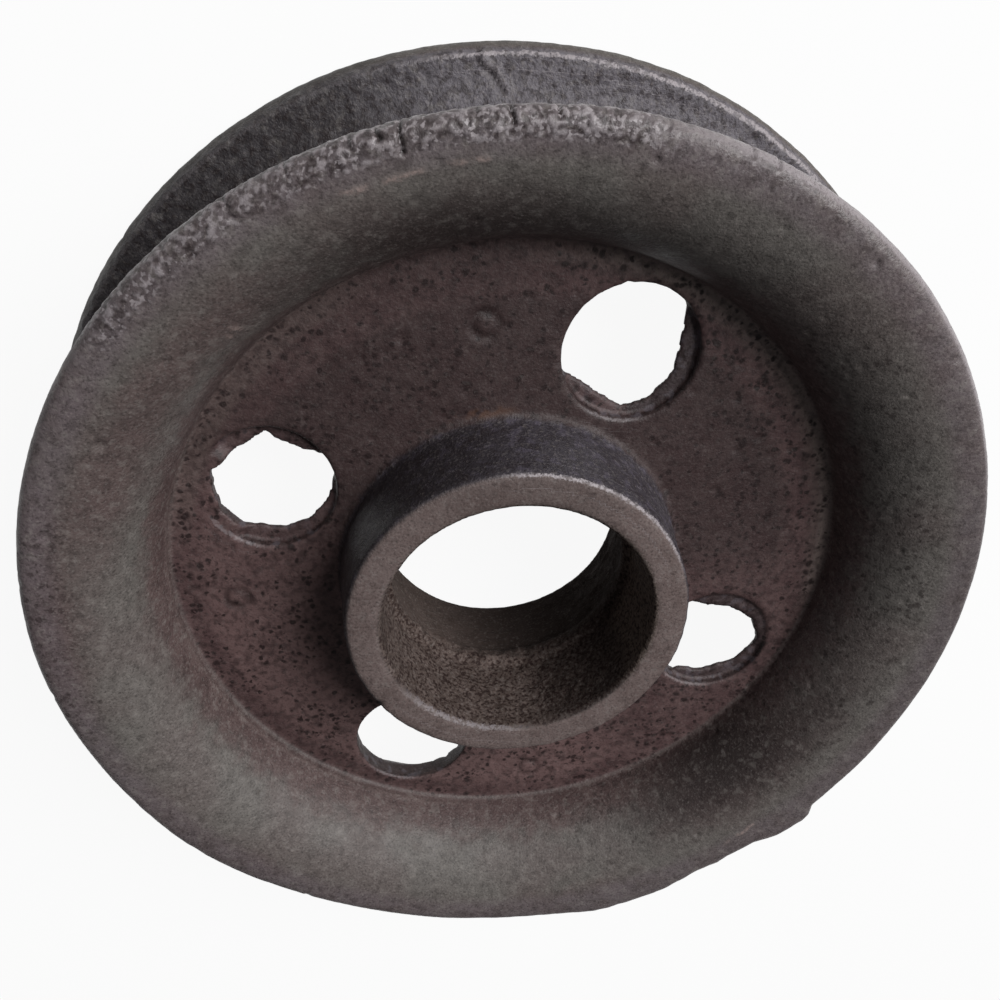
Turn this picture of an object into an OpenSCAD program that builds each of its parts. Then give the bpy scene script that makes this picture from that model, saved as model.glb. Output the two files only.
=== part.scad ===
// Cast iron pulley whose rim is a half tube round a half-circle groove, with four round
// holes in its web and a drafted hub whose raw bore narrows to a parting ridge at mid length.
// The axis is Z, the middle plane of the web is z = 0 and the front faces +Z.

/* [Rim] */
// Diameter over the front flange
flange_d = 150; // [138:0.5:156]
// Diameter over the rear flange, cast a little larger than the front one
rear_flange_d = 151.8; // [140:0.2:155]
// Width over the rim, which is the outer diameter of its half tube
rim_w = 36.6; // [32:0.2:42]
// Diameter of the crease where a flange face meets the web
web_d = 111.6; // [104:0.2:118]
// Wall between the flange face and the groove
rim_wall = 4.4; // [3.6:0.1:6]
// Rounding of the lip on its face side
lip_round = 1.8; // [1:0.1:2.2]
// Rounding of the lip on its groove side
mouth_round = 0.4; // [0.2:0.1:0.8]
// Distance that a flange's edge tapers in from the lip to the groove's mouth
mouth_taper = 0.8; // [0.2:0.1:1.2]

/* [Web] */
// Thickness of the web
web_t = 4.2; // [3:0.1:7]
// Fillet in the crease at the foot of a flange face
crease_r = 0.8; // [0.3:0.1:2]
// Number of holes through the web
hole_count = 4; // [3:1:5]
// Diameter of a hole through the web
hole_d = 21; // [12:0.5:24]
// Diameter of the circle that the hole centres lie on
hole_pitch_d = 84.2; // [80:0.2:88]
// Angle of the first hole from +X
hole_angle = 249.2; // [0:0.1:360]
// Rounding of the holes' edges
hole_round = 0.6; // [0.2:0.1:1]

/* [Hub] */
// Length of the hub
hub_l = 35.4; // [28:0.2:44]
// Diameter of the hub at its end faces
hub_d = 55.4; // [53:0.2:60]
// Draft of the hub's outside
hub_draft = 2.5; // [0.5:0.5:4]
// Rounding of the hub's outer edge
hub_round = 1.6; // [0.5:0.1:2]
// Fillet between the hub and the web
hub_fillet = 1.4; // [0.5:0.1:3]

/* [Bore] */
// Diameter of the bore at its mouths
bore_mouth_d = 43.8; // [42:0.2:45]
// Draft of the bore towards its middle
bore_draft = 3; // [1:0.5:4]
// Rounding of the bore's mouths
bore_round = 1.2; // [0.4:0.1:1.6]
// Diameter of the parting ridge at the middle of the bore
ridge_d = 40; // [37:0.2:40.6]
// Length of the ridge's crest along the bore
ridge_l = 2.4; // [1:0.2:6]
// Length of the slope on each side of the ridge
ridge_slope = 1; // [0.4:0.1:2]

/* [Casting marks] */
// Distance of the first pin mark from the axis
mark_1_r = 43.5; // [40:0.1:50]
// Angle of the first pin mark
mark_1_angle = 279.8; // [0:0.1:360]
// Distance of the second pin mark from the axis
mark_2_r = 46; // [40:0.1:50]
// Angle of the second pin mark
mark_2_angle = 7.6; // [0:0.1:360]
// Distance of the third pin mark from the axis
mark_3_r = 48.2; // [40:0.1:50]
// Angle of the third pin mark
mark_3_angle = 100.1; // [0:0.1:360]
// Diameter of the ring that a pin mark leaves, at the middle of its groove
mark_d = 3.8; // [2:0.1:6]
// Half width and depth of a pin mark's groove
mark_groove_r = 0.5; // [0.2:0.1:0.9]
// Height of the broken gate above the front lip
gate_h = 0.9; // [0.3:0.1:2]
// Thickness of the broken gate along the axis
gate_t = 1.8; // [1:0.1:2.4]
// Angle of the gate's square end
gate_angle = 144; // [0:1:360]
// Offset of the gate's arc from the axis, which sets how fast it runs out
gate_offset = 6; // [3:0.5:12]

/* [Hidden] */
$fn = 180;
lap = 0.5;
iron = [0.27, 0.24, 0.23];

web_r = web_d / 2;
web_z = web_t / 2;
front_r = flange_d / 2;
rear_r = rear_flange_d / 2;

// The flange faces are arcs of one half tube, centred on the middle plane, and the groove
// is the half circle one rim wall inside it.
face_r = rim_w / 2;
face_c = [web_r + sqrt(pow(face_r, 2) - pow(web_z, 2)), 0];
groove_r = face_r - rim_wall;

hub_z = hub_l / 2;
hub_face_r = hub_d / 2;
bore_mouth_r = bore_mouth_d / 2;
ridge_r = ridge_d / 2;

// Centre of a rounding that touches the face arc from inside and the flange's edge
function lip_c(r) = [
    r - lip_round,
    sqrt(pow(face_r - lip_round, 2) - pow(face_c[0] - r + lip_round, 2))
];

// Radius at the centre of the rounding at the groove's mouth
function mouth_at(r) = r - mouth_taper - mouth_round;

// Centre of a rounding that touches the groove wall from outside, inside the flange's edge
function mouth_c(r) = [
    mouth_at(r),
    sqrt(pow(groove_r + mouth_round, 2) - pow(face_c[0] - mouth_at(r), 2))
];

// Outward normal of the straight edge that touches both roundings of a lip
function edge_normal(lip, mouth) =
    let(
        along = unit(lip, mouth),
        lean = (lip_round - mouth_round) / norm(mouth - lip)
    )
    along * lean + [-along[1], along[0]] * sqrt(1 - pow(lean, 2));

// Radius of the hub's drafted outside at height z
function hub_at(z) = hub_face_r + (hub_z - z) * tan(hub_draft);

// Radius of the bore's drafted wall at height z
function bore_at(z) = bore_mouth_r - (hub_z - z) * tan(bore_draft);

// Unit vector from a to b
function unit(a, b) = (b - a) / norm(b - a);

// Section of one flange above the middle plane, out to radius r
module flange_section(r) {
    lip = lip_c(r);
    mouth = mouth_c(r);
    lip_far = lip + unit(face_c, lip) * 2 * lip_round;
    mouth_far = mouth - unit(face_c, mouth) * rim_wall / 2;
    edge = edge_normal(lip, mouth);
    difference() {
        intersection() {
            translate(face_c)
                circle(face_r);
            polygon([
                [web_r - rim_wall, -lap],
                [web_r - rim_wall, lip_far[1]],
                lip_far,
                lip,
                mouth,
                mouth_far,
                [mouth_far[0], -lap]
            ]);
        }
        translate(face_c)
            circle(groove_r);
    }
    translate(lip)
        circle(lip_round);
    translate(mouth)
        circle(mouth_round);
    polygon([lip, lip + edge * lip_round, mouth + edge * mouth_round, mouth]);
    crease_fill();
}

// Fillet between the web and the foot of the flange face
module crease_fill() {
    z = web_z + crease_r;
    c = [face_c[0] - sqrt(pow(face_r + crease_r, 2) - pow(z, 2)), z];
    touch = face_c + unit(face_c, c) * face_r;
    difference() {
        polygon([
            [c[0], web_z - lap],
            c,
            touch,
            [touch[0] + lap, touch[1]],
            [touch[0] + lap, web_z - lap]
        ]);
        translate(c)
            circle(crease_r);
    }
}

// Section of the hub above the middle plane, with the drafted bore and its ridge
module hub_section() {
    out_run = hub_round * tan(45 - hub_draft / 2);
    out_c = [hub_face_r - out_run, hub_z - hub_round];
    out_touch = out_c + hub_round * [cos(hub_draft), sin(hub_draft)];
    in_run = bore_round * tan(45 - bore_draft / 2);
    in_c = [bore_mouth_r + in_run, hub_z - bore_round];
    in_touch = in_c - bore_round * [cos(bore_draft), -sin(bore_draft)];
    ridge_z = ridge_l / 2;
    foot_z = ridge_z + ridge_slope;
    polygon([
        [ridge_r, -lap],
        [ridge_r, ridge_z],
        [bore_at(foot_z), foot_z],
        in_touch,
        in_c,
        [in_c[0], hub_z],
        [out_c[0], hub_z],
        out_c,
        out_touch,
        [hub_at(0), 0],
        [hub_at(0), -lap]
    ]);
    translate(in_c)
        circle(bore_round);
    translate(out_c)
        circle(hub_round);
    hub_foot();
}

// Fillet between the hub's outside and the web
module hub_foot() {
    z = web_z + hub_fillet;
    c = [hub_at(z) + hub_fillet / cos(hub_draft), z];
    touch = c - hub_fillet * [cos(hub_draft), sin(hub_draft)];
    difference() {
        polygon([
            [c[0], web_z - lap],
            c,
            touch,
            [touch[0] - lap, touch[1]],
            [touch[0] - lap, web_z - lap]
        ]);
        translate(c)
            circle(hub_fillet);
    }
}

// Whole section of the casting on one side of the axis
module casting_section() {
    flange_section(front_r);
    mirror([0, 1])
        flange_section(rear_r);
    hub_section();
    mirror([0, 1])
        hub_section();
    translate([hub_face_r - lap, -web_z])
        square([web_r - hub_face_r + rim_wall / 2 + lap, web_t]);
}

// Cutter for one hole in the web, with both edges rounded
module web_hole() {
    rotate_extrude()
        union() {
            translate([0, -web_t])
                square([hole_d / 2, 2 * web_t]);
            hole_edge();
            mirror([0, 1])
                hole_edge();
        }
}

// What the rounding takes off the edge of a hole
module hole_edge() {
    difference() {
        translate([0, web_z - hole_round])
            square([hole_d / 2 + hole_round, 2 * hole_round]);
        translate([hole_d / 2 + hole_round, web_z - hole_round])
            circle(hole_round);
    }
}

// Ring groove that a pin leaves in the front of the web
module pin_mark(r, angle) {
    rotate([0, 0, angle])
        translate([r, 0, web_z])
            rotate_extrude()
                translate([mark_d / 2, 0])
                    circle(mark_groove_r, $fn = 48);
}

// Stub of the broken gate on the edge of the front lip
module gate() {
    r = front_r + gate_h - gate_offset;
    far = 2 * front_r;
    mid_z = (lip_c(front_r)[1] + mouth_c(front_r)[1]) / 2;
    rotate([0, 0, gate_angle])
        translate([0, 0, mid_z - gate_t / 2])
            linear_extrude(gate_t)
                intersection() {
                    translate([gate_offset, 0])
                        circle(r);
                    polygon([
                        [front_r - lip_round, 0],
                        [far, 0],
                        [far, -far],
                        [front_r - lip_round, -far]
                    ]);
                    difference() {
                        circle(far);
                        circle(front_r - lip_round);
                    }
                }
}

// The one casting: rim, web, hub, holes, pin marks and gate stub
module pulley() {
    color(iron)
        difference() {
            union() {
                rotate_extrude()
                    casting_section();
                gate();
            }
            for (i = [0 : hole_count - 1])
                rotate([0, 0, hole_angle + i * 360 / hole_count])
                    translate([hole_pitch_d / 2, 0, 0])
                        web_hole();
            pin_mark(mark_1_r, mark_1_angle);
            pin_mark(mark_2_r, mark_2_angle);
            pin_mark(mark_3_r, mark_3_angle);
        }
}

pulley();
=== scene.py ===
"""Raw cast iron pulley, lying flat on its rear flange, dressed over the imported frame.

The casting is turned from the sizes of the part's source, then roughened as sand-cast iron is:
grain, pits, lumpy lips, flash left in the web holes, a ridge in the bore and the stubs of two gates.
"""

import math

import bmesh
import bpy
import numpy as np
from mathutils import Matrix, Vector
from mathutils.kdtree import KDTree


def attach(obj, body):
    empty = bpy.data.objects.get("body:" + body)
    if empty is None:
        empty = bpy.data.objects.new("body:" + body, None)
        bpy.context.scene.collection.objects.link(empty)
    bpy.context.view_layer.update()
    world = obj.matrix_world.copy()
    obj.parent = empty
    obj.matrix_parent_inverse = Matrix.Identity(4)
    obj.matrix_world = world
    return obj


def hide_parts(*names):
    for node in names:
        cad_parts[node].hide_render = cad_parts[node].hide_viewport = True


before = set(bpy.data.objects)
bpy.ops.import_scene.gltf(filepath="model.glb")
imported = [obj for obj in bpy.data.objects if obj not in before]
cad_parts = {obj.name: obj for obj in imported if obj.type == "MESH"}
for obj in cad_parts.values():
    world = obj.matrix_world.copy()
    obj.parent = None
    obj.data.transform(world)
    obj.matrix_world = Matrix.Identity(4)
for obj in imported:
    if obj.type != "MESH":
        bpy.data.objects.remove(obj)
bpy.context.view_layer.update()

MM = 0.001

# Sizes of the casting in millimetres, as in the part's source but for the hub's sharper edge, HUB_ROUND
FRONT_R = 75.0
REAR_R = 75.9
RIM_W = 36.6
WEB_R = 55.8
RIM_WALL = 4.4
LIP_ROUND = 1.8
MOUTH_ROUND = 0.4
MOUTH_TAPER = 0.8
WEB_Z = 2.1
CREASE_R = 0.8
HOLE_R = 10.5
HOLE_PITCH_R = 42.1
HOLE_ANGLES = (249.2, 339.2, 69.2, 159.2)
HOLE_ROUND = 0.6
HUB_Z = 17.7
HUB_FACE_R = 27.7
HUB_DRAFT = math.radians(2.5)
HUB_ROUND = 1.2
HUB_FILLET = 1.4
BORE_MOUTH_R = 21.9
BORE_DRAFT = math.radians(3)
BORE_ROUND = 1.2
RIDGE_R = 20.0
RIDGE_Z = 1.2
RIDGE_SLOPE = 1.0

# Pin marks on the front of the web: distance from the axis, angle, radius of the ring
PIN_MARKS = ((43.5, 279.8, 1.9), (46.0, 7.6, 1.9), (48.2, 100.1, 1.9))
# Flash left in each hole: corners of its broken inner edge, as direction and distance from the
# hole's centre. The wall is clean beyond a row's ends, and all round in a hole without a row.
FLASH_CORNERS = (
    ((20, 10.9), (28, 9.3), (90, 9.2), (120, 8.7), (150, 8.0), (180, 7.6), (222, 10.0), (228, 10.9)),
    ((210, 10.9), (214, 9.6), (232, 8.1), (262, 8.0), (270, 9.3), (279, 8.3), (310, 7.6), (336, 8.3),
     (340, 9.2), (365, 8.4), (390, 8.7), (420, 8.5), (465, 8.1), (495, 8.8), (525, 9.3), (550, 10.2),
     (556, 10.9)),
    (),
    ((55, 10.9), (60, 8.8), (90, 8.4), (135, 8.5), (165, 9.2), (180, 9.1), (195, 8.3), (210, 8.4),
     (225, 7.6), (255, 7.55), (288, 7.95), (300, 9.4), (306, 10.9)),
)
FLASH_T = 0.9
# Part of each hole's flash that stands higher: direction, half width, height above the middle plane
FLASH_HIGH = ((0, 0, 0.45), (10, 40, 1.95), (0, 0, 0.45), (245, 60, 1.3))
# Part of each hole's front edge made paler, a little by wear and mostly as a painted highlight where the
# edge faces the lamp: direction, half width and strength
HOLE_WEAR_AND_HIGHLIGHT = ((82, 16, 0.38), (55, 18, 0.35), (70, 20, 0.25), (70, 20, 0.3))

# How far the front lip runs out beyond its circle, as angle and distance: an uneven stretch, then
# the stubs of two gates
LIP_SWELL = (
    (-16, 0.0), (0, 0.1), (24, 0.2), (34, 0.5), (40, 0.85), (46, 1.0), (52, 0.85), (58, 0.45), (66, 0.2),
    (78, 0.25), (88, 0.65), (96, 1.0), (101, 1.5), (106, 2.6), (109, 3.0), (113, 2.8), (118, 2.4),
    (122, 1.5), (124.5, 0.7), (128, 0.9), (130, 0.35), (134.5, 0.4), (136.5, 1.5), (138.5, 2.3),
    (142, 2.6), (143.4, 2.2), (145.2, 0.5), (150, 0.3), (157, 0.25), (162, 0.0),
)

# Clefts across the front lip: angle, distance from the axis where it starts, depth and half width
LIP_CLEFTS = (
    (250.6, 74.2, 0.40, 0.22), (253.5, 73.9, 0.45, 0.22), (262.0, 74.0, 0.25, 0.20),
    (267.0, 74.0, 0.25, 0.20), (272.0, 73.8, 0.50, 0.24), (276.3, 73.1, 0.70, 0.27),
    (279.5, 73.6, 0.30, 0.22), (286.3, 71.7, 0.65, 0.27), (288.4, 73.7, 0.60, 0.27),
    (291.0, 73.6, 0.35, 0.24), (297.0, 73.4, 0.30, 0.25), (303.5, 73.6, 0.30, 0.25),
)
# Lumpy stretches of the front lip: angle, half width, soft width and strength
LIP_ROUGH = (
    (288.5, 4.5, 4, 1.0), (272.5, 8, 5, 1.0), (305, 14, 8, 0.75), (256, 8, 6, 0.35), (281, 40, 20, 0.2),
)
# Seam on the rear wall of the groove: angle and distance from the axis of its points, and its cleft's offset
SEAM = ((276.6, 74.6), (276.2, 73.6), (275.3, 72.9), (274.3, 70.9), (274.0, 69.0))
SEAM_CLEFT = 0.7
# Lean of the flange face, in degrees from flat, where the pattern's line shows
CREASE_LINE = 78.0
# Raised streaks on the front flange, as points of angle and distance from the axis
STREAKS = (
    ((293.3, 69.8), (289.4, 69.2), (285.8, 69.6), (282.4, 69.7), (278.7, 69.6)),
    ((313.0, 64.6), (312.6, 62.4), (312.1, 60.1)),
    ((314.4, 63.4), (313.7, 61.0)),
    ((131.2, 70.6), (134.3, 70.4), (136.6, 70.0)),
)
# Single dents, and bumps of negative depth: angle, distance from the axis, height, radius and depth
DENTS = (
    (333.6, 66.8, 16.8, 1.3, 0.55), (334.6, 67.9, 17.3, 0.9, -0.2), (347.2, 70.8, 18.0, 1.7, 0.35),
    (346.2, 69.4, 17.7, 0.6, 0.35), (262.3, 70.6, 18.0, 0.7, 0.4), (263.6, 69.4, 17.7, 0.8, 0.4),
    (283.4, 70.2, 17.9, 0.6, 0.35), (246.5, 68.6, 17.5, 0.8, 0.35), (244.1, 73.5, -13.9, 1.0, 0.55),
    (36.7, 27.0, 17.1, 1.1, 0.55), (307.8, 27.2, 17.1, 0.6, -0.25), (19.0, 73.4, 18.2, 0.8, 0.3),
    (98.0, 72.6, 18.2, 0.8, 0.3), (62.0, 74.2, 17.9, 1.0, 0.3),
)
# Dusty patches on the front flange: angle, half width, lean, half lean, strength
STAINS = (
    (140, 22, 45, 24, 0.9),
    (320, 22, 35, 20, 0.7),
    (345, 18, 28, 22, 0.5),
    (2, 16, 8, 12, 0.8),
    (285, 18, 48, 18, 0.6),
    (105, 10, 14, 9, 0.5),
    (52, 7, 10, 9, 0.5),
)
# Patches on the front flange made darker, partly soot and partly painted shade, in the same form
SOOT_AND_SHADE = (
    (125, 16, 50, 24, 0.40),
    (143, 16, 50, 26, 0.72),
    (284, 24, 34, 16, 0.48),
    (186, 44, 0, 14, 0.40),
    (28, 22, 62, 14, 0.20),
    (276, 32, 52, 16, 0.55),
    (138, 14, 72, 10, 0.45),
    (163, 14, 38, 14, 0.30),
)
# Rust at the hub's foot: angle, half width along the foot, distance from the axis
RUST_AT = (282.5, 5.0, 29.9)

# Hollow in the rear flange across from the lower hole: angle, half width, soft width, lean and depth
REAR_HOLLOW = (75, 14, 18, 47, 1.5)
# How dark the flash in each hole is, and the paler fin in the first hole: direction and half width
FLASH_TINT = (0.75, 0.2, 0.5, 0.6)
FIN = (55, 42)
FIN_TINT = 0.25

# Size of the mesh, and the number of pits in the skin
VOXEL = 0.46
PITS = 900
# The part of the front lip that gets a finer mesh: middle angle, half width, distance from its rounding
FINE_LIP = (276.0, 46.0, 1.0)


# Distance from the axis at which the hub's piece ends and the web's begins
HUB_PIECE_R = 33.0

# Key lamp: azimuth, elevation, distance, size and power
KEY_LAMP = (228, 41.5, 0.9, 0.55, 8.3)
WORLD_COLOUR = (0.95, 0.97, 1.0, 1)
WORLD_LIGHT = 0.07

# The paper's colour to the eye and to bounced light, how much of it glows, and half its width
FLOOR_WHITE = (0.9, 0.9, 0.9, 1)
FLOOR_BOUNCE = (0.3, 0.29, 0.28, 1)
FLOOR_GLOW = 0.93
FLOOR_HALF = 3.0


# The section of the casting

FACE_ARC_R = RIM_W / 2
FACE_C = np.array((WEB_R + math.sqrt(FACE_ARC_R ** 2 - WEB_Z ** 2), 0.0))
GROOVE_ARC_R = FACE_ARC_R - RIM_WALL


def lip_centre(r):
    """Centre of the rounding between the flange face and the flange's edge at radius r."""
    run = FACE_C[0] - r + LIP_ROUND
    return np.array((r - LIP_ROUND, math.sqrt((FACE_ARC_R - LIP_ROUND) ** 2 - run ** 2)))


def mouth_centre(r):
    """Centre of the rounding between the flange's edge at radius r and the groove wall."""
    at = r - MOUTH_TAPER - MOUTH_ROUND
    return np.array((at, math.sqrt((GROOVE_ARC_R + MOUTH_ROUND) ** 2 - (FACE_C[0] - at) ** 2)))


def edge_normal(lip, mouth):
    """Outward normal of the straight edge that touches both roundings of a lip."""
    span = math.dist(lip, mouth)
    along = (mouth - lip) / span
    lean = (LIP_ROUND - MOUTH_ROUND) / span
    return along * lean + np.array((-along[1], along[0])) * math.sqrt(1 - lean ** 2)


def angle_of(v):
    return math.atan2(v[1], v[0])


def arc(centre, radius, start, end, step=0.5):
    """Points on an arc, both ends included."""
    n = max(4, int(abs(end - start) * radius / step))
    t = np.linspace(start, end, n + 1)
    return [(centre[0] + radius * math.cos(a), centre[1] + radius * math.sin(a)) for a in t]


def half_section(flange_r):
    """The outline above the middle plane, from the bore's ridge to the bottom of the groove."""
    quarter = math.pi / 2

    def bore_at(z):
        return BORE_MOUTH_R - (HUB_Z - z) * math.tan(BORE_DRAFT)

    def hub_at(z):
        return HUB_FACE_R + (HUB_Z - z) * math.tan(HUB_DRAFT)

    mouth = (BORE_MOUTH_R + BORE_ROUND * math.tan(quarter / 2 - BORE_DRAFT / 2), HUB_Z - BORE_ROUND)
    shoulder = (HUB_FACE_R - HUB_ROUND * math.tan(quarter / 2 - HUB_DRAFT / 2), HUB_Z - HUB_ROUND)
    foot_z = WEB_Z + HUB_FILLET
    foot = (hub_at(foot_z) + HUB_FILLET / math.cos(HUB_DRAFT), foot_z)
    crease_z = WEB_Z + CREASE_R
    crease = np.array((FACE_C[0] - math.sqrt((FACE_ARC_R + CREASE_R) ** 2 - crease_z ** 2), crease_z))
    lip = lip_centre(flange_r)
    groove = mouth_centre(flange_r)
    edge = angle_of(edge_normal(lip, groove))
    ridge_foot = RIDGE_Z + RIDGE_SLOPE

    points = [(RIDGE_R, 0.0), (RIDGE_R, RIDGE_Z), (bore_at(ridge_foot), ridge_foot)]
    points += arc(mouth, BORE_ROUND, math.pi - BORE_DRAFT, quarter)
    points += arc(shoulder, HUB_ROUND, quarter, HUB_DRAFT)
    points += arc(foot, HUB_FILLET, math.pi + HUB_DRAFT, 3 * quarter)
    points += arc(crease, CREASE_R, 3 * quarter, 2 * math.pi + angle_of(FACE_C - crease))
    points += arc(FACE_C, FACE_ARC_R, angle_of(crease - FACE_C), angle_of(lip - FACE_C))
    points += arc(lip, LIP_ROUND, angle_of(lip - FACE_C), edge)
    points += arc(groove, MOUTH_ROUND, edge, angle_of(FACE_C - groove))
    points += arc(FACE_C, GROOVE_ARC_R, angle_of(groove - FACE_C), math.pi)
    return points


def refine(points, step=1.2):
    """The same outline with its long straight runs divided."""
    out = []
    for (a, b), (c, d) in zip(points, points[1:] + points[:1]):
        n = max(1, int(math.dist((a, b), (c, d)) / step))
        out += [(a + (c - a) * k / n, b + (d - b) * k / n) for k in range(n)]
    return out


def whole_section():
    front = half_section(FRONT_R)
    rear = [(r, -z) for r, z in reversed(half_section(REAR_R))]
    return refine(front[:-1] + rear[:-1])


# Meshes


def mesh_object(name, vertices, faces):
    mesh = bpy.data.meshes.new(name)
    mesh.from_pydata([tuple(v) for v in vertices], [], faces)
    mesh.update()
    obj = bpy.data.objects.new(name, mesh)
    bpy.context.scene.collection.objects.link(obj)
    return obj


def turn(name, section, segments):
    """Turns a closed outline that stays clear of the axis."""
    section = np.array(section)
    n = len(section)
    t = np.linspace(0, 2 * math.pi, segments, endpoint=False)
    x = np.outer(np.cos(t), section[:, 0])
    y = np.outer(np.sin(t), section[:, 0])
    z = np.tile(section[:, 1], (segments, 1))
    vertices = np.stack([x, y, z], -1).reshape(-1, 3) * MM
    faces = []
    for s in range(segments):
        a, b = s * n, ((s + 1) % segments) * n
        for i in range(n):
            j = (i + 1) % n
            faces.append((a + i, a + j, b + j, b + i))
    return mesh_object(name, vertices, faces)


def stack(name, rings):
    """Closes a stack of rings, each a list of points, with a flat cap at both ends."""
    n = len(rings[0])
    vertices = [p for ring in rings for p in ring]
    faces = [tuple(reversed(range(n))), tuple((len(rings) - 1) * n + i for i in range(n))]
    for k in range(len(rings) - 1):
        for i in range(n):
            j = (i + 1) % n
            faces.append((k * n + i, k * n + j, (k + 1) * n + j, (k + 1) * n + i))
    return mesh_object(name, vertices, faces)


def hole_centre(angle):
    a = math.radians(angle)
    return HOLE_PITCH_R * math.cos(a), HOLE_PITCH_R * math.sin(a)


def hole_cutter(name, angle, sides=96):
    """A hole in the web with both edges rounded."""
    cx, cy = hole_centre(angle)
    wide = HOLE_R + HOLE_ROUND
    upper = arc((wide, WEB_Z - HOLE_ROUND), HOLE_ROUND, math.pi, math.pi / 2, 0.2)
    outline = upper + [(wide, WEB_Z + 1.5)]
    outline = [(r, -z) for r, z in reversed(outline)] + outline
    rings = []
    for r, z in outline:
        t = np.linspace(0, 2 * math.pi, sides, endpoint=False)
        rings.append([((cx + r * math.cos(a)) * MM, (cy + r * math.sin(a)) * MM, z * MM) for a in t])
    return stack(name, rings)


def broken_edge(t, corners):
    """Distance from a hole's centre to the straight edges between corners, in each direction t."""
    edge = np.full(len(t), HOLE_R + 0.4)
    for (a, r), (b, s) in zip(corners, corners[1:]):
        a, b = math.radians(a), math.radians(b)
        along = (t - a) % (2 * math.pi)
        across = r * s * math.sin(b - a) / (r * np.sin(along) + s * np.sin(b - a - along))
        edge = np.where(along <= b - a, across, edge)
    return edge


def flash_plate(name, angle, corners, high, rng, sides=288):
    """Thin iron that ran into the parting of a hole and broke off along straight and ragged edges."""
    cx, cy = hole_centre(angle)
    t = np.linspace(0, 2 * math.pi, sides, endpoint=False)
    ragged = np.zeros(sides)
    for waves, depth in ((7, 0.05), (17, 0.06), (31, 0.05), (53, 0.03)):
        ragged += depth * np.sin(waves * t + rng.uniform(0, 2 * math.pi))
    inner = np.minimum(broken_edge(t, corners) + ragged, HOLE_R + 0.4)
    outer = np.full(sides, HOLE_R + 1.2)
    low = np.full(sides, -FLASH_T / 2)
    top = -low + (high[2] + low) * around(np.degrees(t), high[0], high[1], 20)
    loops = ((outer, low), (outer, top), (inner + 0.1, top), (inner, 0 * low), (inner + 0.1, low))
    vertices, faces = [], []
    for radii, heights in loops:
        vertices += [((cx + r * math.cos(a)) * MM, (cy + r * math.sin(a)) * MM, z * MM)
                     for r, z, a in zip(radii, heights, t)]
    for k in range(len(loops)):
        a, b = k * sides, ((k + 1) % len(loops)) * sides
        for i in range(sides):
            j = (i + 1) % sides
            faces.append((a + i, a + j, b + j, b + i))
    return mesh_object(name, vertices, faces)


def outward(obj):
    """Turns the faces of a closed mesh outwards."""
    bm = bmesh.new()
    bm.from_mesh(obj.data)
    bmesh.ops.recalc_face_normals(bm, faces=bm.faces)
    if bm.calc_volume(signed=True) < 0:
        bmesh.ops.reverse_faces(bm, faces=bm.faces)
    bm.to_mesh(obj.data)
    bm.free()


def bake(obj):
    """Applies the modifiers of an object to its mesh."""
    depsgraph = bpy.context.evaluated_depsgraph_get()
    mesh = bpy.data.meshes.new_from_object(obj.evaluated_get(depsgraph))
    obj.modifiers.clear()
    old = obj.data
    obj.data = mesh
    bpy.data.meshes.remove(old)


def join(objects):
    """Joins several meshes into the first one."""
    bm = bmesh.new()
    for o in objects:
        bm.from_mesh(o.data)
    bm.to_mesh(objects[0].data)
    bm.free()
    drop(objects[1:])
    return objects[0]


def drop(objects):
    for o in objects:
        mesh = o.data
        bpy.data.objects.remove(o)
        bpy.data.meshes.remove(mesh)


# Seeded noise


def noise(points, size, seed):
    """Smooth noise from about -1 to 1 with features of the given size in millimetres."""
    rng = np.random.default_rng(seed)
    table = np.concatenate([rng.permutation(256)] * 2)
    slopes = rng.normal(size=(256, 3))
    slopes /= np.linalg.norm(slopes, axis=1)[:, None]
    q = points / size + rng.uniform(0, 200, 3)
    cell = np.floor(q).astype(np.int64)
    f = q - cell
    u = f * f * f * (f * (f * 6 - 15) + 10)
    total = np.zeros(len(points))
    for dx in (0, 1):
        wx = u[:, 0] if dx else 1 - u[:, 0]
        hx = table[(cell[:, 0] + dx) & 255]
        for dy in (0, 1):
            wy = wx * (u[:, 1] if dy else 1 - u[:, 1])
            hy = table[hx + ((cell[:, 1] + dy) & 255)]
            for dz in (0, 1):
                w = wy * (u[:, 2] if dz else 1 - u[:, 2])
                g = slopes[table[hy + ((cell[:, 2] + dz) & 255)]]
                total += w * ((f[:, 0] - dx) * g[:, 0] + (f[:, 1] - dy) * g[:, 1] + (f[:, 2] - dz) * g[:, 2])
    return total * 1.6


def ramp(x, low, high):
    """Smooth step from 0 at low to 1 at high; low may be the larger."""
    t = np.clip((x - low) / (high - low), 0, 1)
    return t * t * (3 - 2 * t)


def around(theta, centre, half_width, soft):
    """1 within half_width degrees of an angle, 0 beyond a soft edge."""
    d = np.abs((theta - centre + 180) % 360 - 180)
    return ramp(d, half_width + soft, half_width)


# The casting


def cast_blank():
    """The clean casting: turned body, holes cut, flash in the holes, as one even mesh."""
    body = turn("pulley_casting", whole_section(), 540)
    outward(body)
    cutters = [hole_cutter(f"hole_{i}", a) for i, a in enumerate(HOLE_ANGLES)]
    for c in cutters:
        outward(c)
    cutter = join(cutters)
    cut = body.modifiers.new("holes", "BOOLEAN")
    cut.operation = "DIFFERENCE"
    cut.solver = "EXACT"
    cut.object = cutter
    bake(body)
    drop([cutter])
    rng = np.random.default_rng(11)
    plates = [flash_plate(f"flash_{i}", a, corners, high, rng)
              for i, (a, corners, high) in enumerate(zip(HOLE_ANGLES, FLASH_CORNERS, FLASH_HIGH))]
    for p in plates:
        outward(p)
    body = join([body] + plates)
    remesh = body.modifiers.new("even", "REMESH")
    remesh.mode = "VOXEL"
    remesh.voxel_size = VOXEL * MM
    bake(body)
    divide_lip(body)
    return body


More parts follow.
